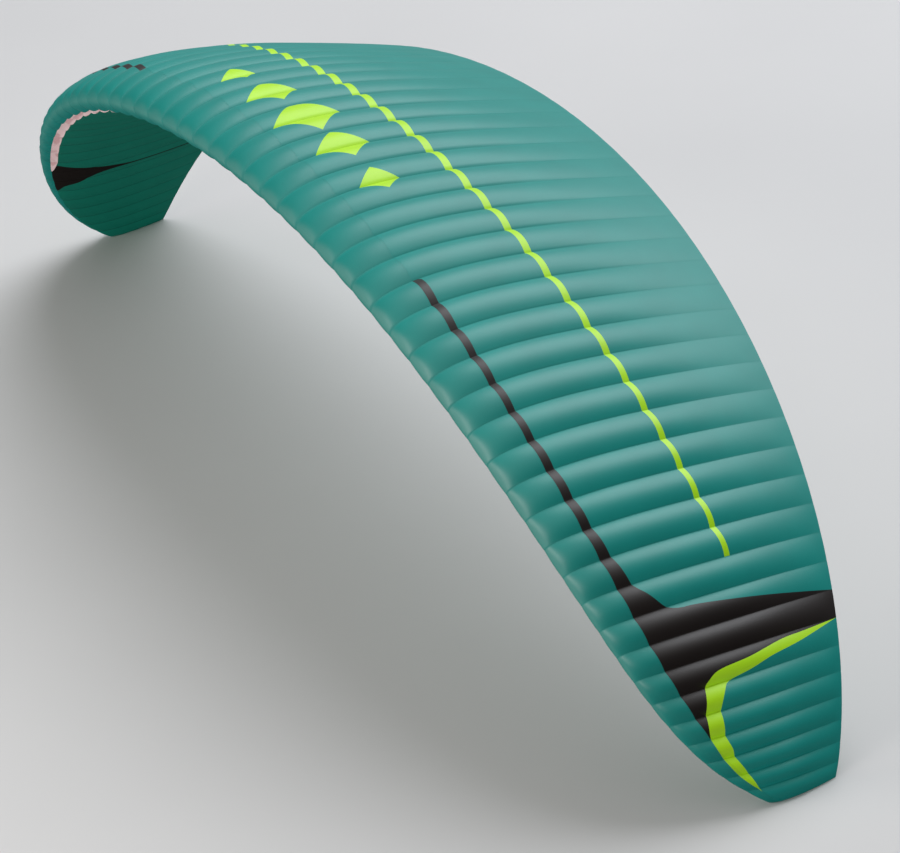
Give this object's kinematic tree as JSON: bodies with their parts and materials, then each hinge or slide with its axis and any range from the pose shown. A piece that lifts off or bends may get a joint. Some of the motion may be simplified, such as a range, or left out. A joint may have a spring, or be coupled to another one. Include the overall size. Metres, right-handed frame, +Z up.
{
  "type": "paraglider wing",
  "caption": "Inflated ram-air canopy of a paraglider: an arched, tapered wing of ballooned cells with air intakes under its nose.",
  "frame": {"origin": "on the ground, midway between the two tips and between the foremost and rearmost points", "axes": "+X along the span to the right tip, -Y towards the leading edge, +Z up"},
  "size_m": [10.2022, 2.4786, 2.9423],
  "materials": {
    "nose_cloth": "coated ripstop nylon, grey teal, soft sheen",
    "upper_cloth": "coated ripstop nylon, teal with lime and near-black panels, soft sheen",
    "lower_cloth": "coated ripstop nylon, dark green with a near-black wedge",
    "rib_cloth": "stiff white ripstop rib cloth, matt"
  },
  "bodies": {
    "root": {"nose_skin": "nose_cloth", "upper_skin": "upper_cloth", "lower_skin": "lower_cloth", "rib_left_28": "rib_cloth", "rib_left_27": "rib_cloth", "rib_left_26": "rib_cloth", "rib_left_25": "rib_cloth", "rib_left_24": "rib_cloth", "rib_left_23": "rib_cloth", "rib_left_22": "rib_cloth", "rib_left_21": "rib_cloth", "rib_left_20": "rib_cloth", "rib_left_19": "rib_cloth", "rib_left_18": "rib_cloth", "rib_left_17": "rib_cloth", "rib_left_16": "rib_cloth", "rib_left_15": "rib_cloth", "rib_left_14": "rib_cloth", "rib_left_13": "rib_cloth", "rib_left_12": "rib_cloth", "rib_left_11": "rib_cloth", "rib_left_10": "rib_cloth", "rib_left_09": "rib_cloth", "rib_left_08": "rib_cloth", "rib_left_07": "rib_cloth", "rib_left_06": "rib_cloth", "rib_left_05": "rib_cloth", "rib_left_04": "rib_cloth", "rib_left_03": "rib_cloth", "rib_left_02": "rib_cloth", "rib_left_01": "rib_cloth", "rib_centre_00": "rib_cloth", "rib_right_01": "rib_cloth", "rib_right_02": "rib_cloth", "rib_right_03": "rib_cloth", "rib_right_04": "rib_cloth", "rib_right_05": "rib_cloth", "rib_right_06": "rib_cloth", "rib_right_07": "rib_cloth", "rib_right_08": "rib_cloth", "rib_right_09": "rib_cloth", "rib_right_10": "rib_cloth", "rib_right_11": "rib_cloth", "rib_right_12": "rib_cloth", "rib_right_13": "rib_cloth", "rib_right_14": "rib_cloth", "rib_right_15": "rib_cloth", "rib_right_16": "rib_cloth", "rib_right_17": "rib_cloth", "rib_right_18": "rib_cloth", "rib_right_19": "rib_cloth", "rib_right_20": "rib_cloth", "rib_right_21": "rib_cloth", "rib_right_22": "rib_cloth", "rib_right_23": "rib_cloth", "rib_right_24": "rib_cloth", "rib_right_25": "rib_cloth", "rib_right_26": "rib_cloth", "rib_right_27": "rib_cloth", "rib_right_28": "rib_cloth"}
  },
  "joints": []
}
